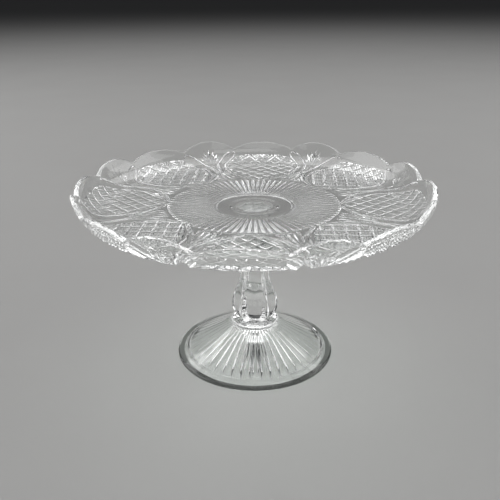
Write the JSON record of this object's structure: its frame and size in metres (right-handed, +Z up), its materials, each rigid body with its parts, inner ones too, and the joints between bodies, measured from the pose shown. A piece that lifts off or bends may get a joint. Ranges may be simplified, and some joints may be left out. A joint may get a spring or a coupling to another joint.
{
  "type": "footed cake stand",
  "caption": "Low round cake stand in clear pressed glass, with a scalloped dished plate on a panelled baluster stem and a ribbed hollow foot.",
  "frame": {"origin": "centre of the foot on the surface that the stand rests on", "axes": "+Z up along the stem; a wide scallop of the plate, a panel of the stem and the foot's mould seam face -Y"},
  "size_m": [0.2482, 0.2482, 0.1353],
  "materials": {
    "pressed_glass": "clear, fire polished, faint grey-green tone in thick sections",
    "joining_glass": "clear, hot-joined gather"
  },
  "bodies": {
    "root": {"plate": "pressed_glass", "plate_wafer": "joining_glass", "stem": "pressed_glass", "foot_collar": "joining_glass", "foot": "pressed_glass"}
  },
  "joints": []
}
